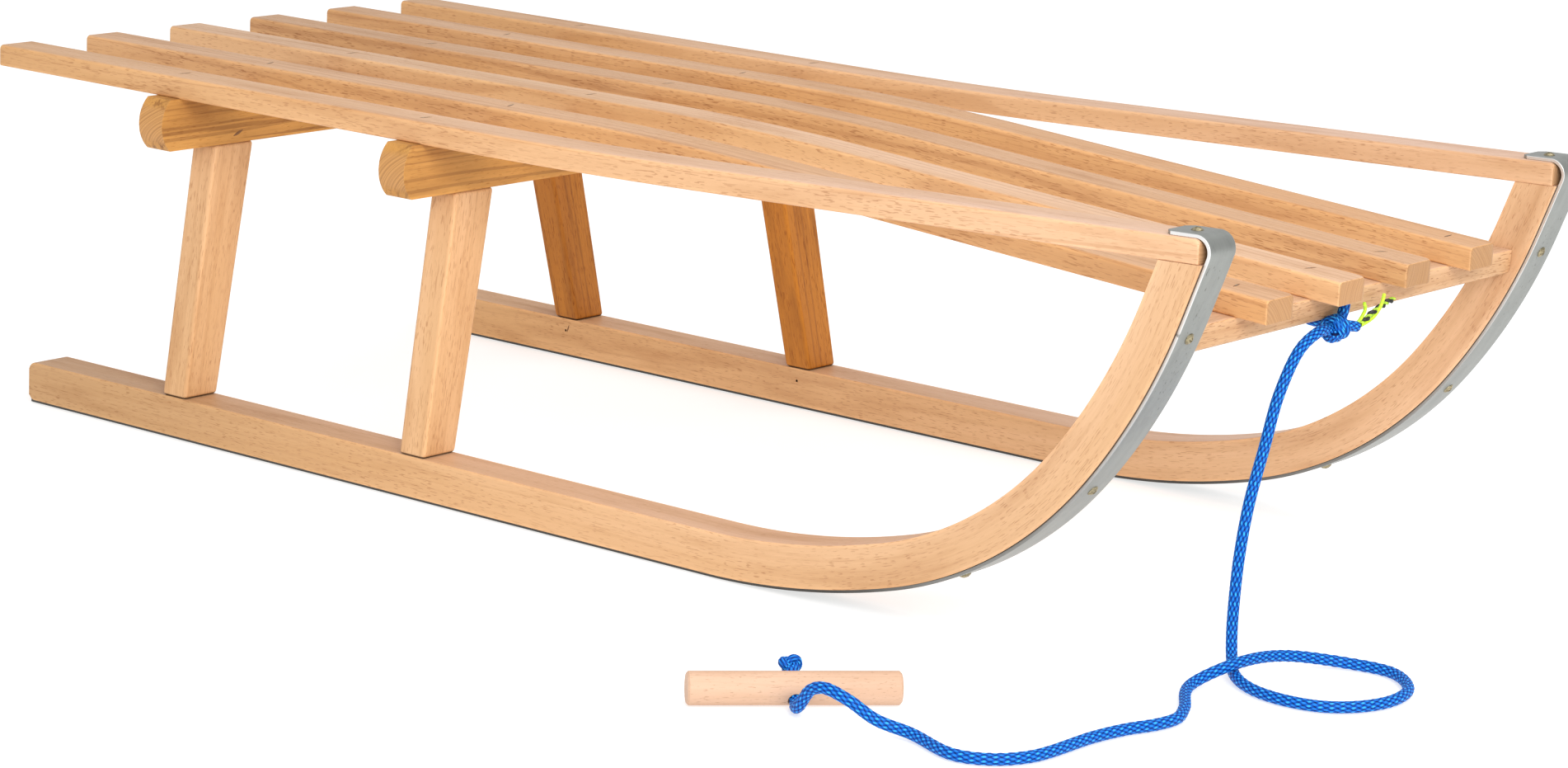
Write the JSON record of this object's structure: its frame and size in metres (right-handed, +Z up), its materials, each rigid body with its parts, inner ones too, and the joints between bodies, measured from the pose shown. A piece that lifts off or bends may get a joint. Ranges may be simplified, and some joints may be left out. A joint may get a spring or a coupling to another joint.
{
  "type": "wooden toboggan",
  "caption": "Slatted wooden sled with bent runners, steel rails, splayed legs on two crossbeams, a dipping deck front and a braided pull rope with a turned wooden handle.",
  "frame": {"origin": "on the floor under the middle of the sled, half way between the tail of the slats and the front of the rails, and midway between the runners", "axes": "+X towards the nose, +Y to the sled's left side, +Z up; the rails stand on Z = 0"},
  "size_m": [0.973, 0.5902, 0.2368],
  "materials": {
    "beech": "satin varnish",
    "beech_warm": "satin varnish",
    "handle_beech": "bare turned wood",
    "rail_steel": "galvanised, lightly scuffed",
    "fastener_steel": "yellow zinc, worn",
    "rope_blue": "braided polypropylene",
    "rope_core": "twisted core yarns"
  },
  "bodies": {
    "sled": {"runner_right": "beech", "runner_left": "beech", "rail_right": "rail_steel", "rail_left": "rail_steel", "rear_crossbeam": "beech_warm", "front_crossbeam": "beech_warm", "leg_rear_right": "beech", "leg_rear_left": "beech_warm", "leg_front_right": "beech", "leg_front_left": "beech_warm", "nose_bar": "beech", "outer_slat_right": "beech", "outer_slat_left": "beech", "inner_slat_1": "beech", "inner_slat_2": "beech", "inner_slat_3": "beech", "inner_slat_4": "beech", "rail_screws_right": "fastener_steel", "rail_screws_left": "fastener_steel", "slat_staples": "fastener_steel", "leg_brads": "fastener_steel", "pull_rope": "rope_blue", "bar_knot": "rope_blue", "rope_tail": "rope_core", "stop_knot": "rope_blue"},
    "handle": {"pull_handle": "handle_beech"}
  },
  "joints": [
    {"name": "handle_spin", "type": "hinge", "parent": "sled", "child": "handle", "pos_m": [0.316, -0.341, 0.0085], "axis": [0.6202, -0.5784, -0.5299], "continuous": true}
  ]
}
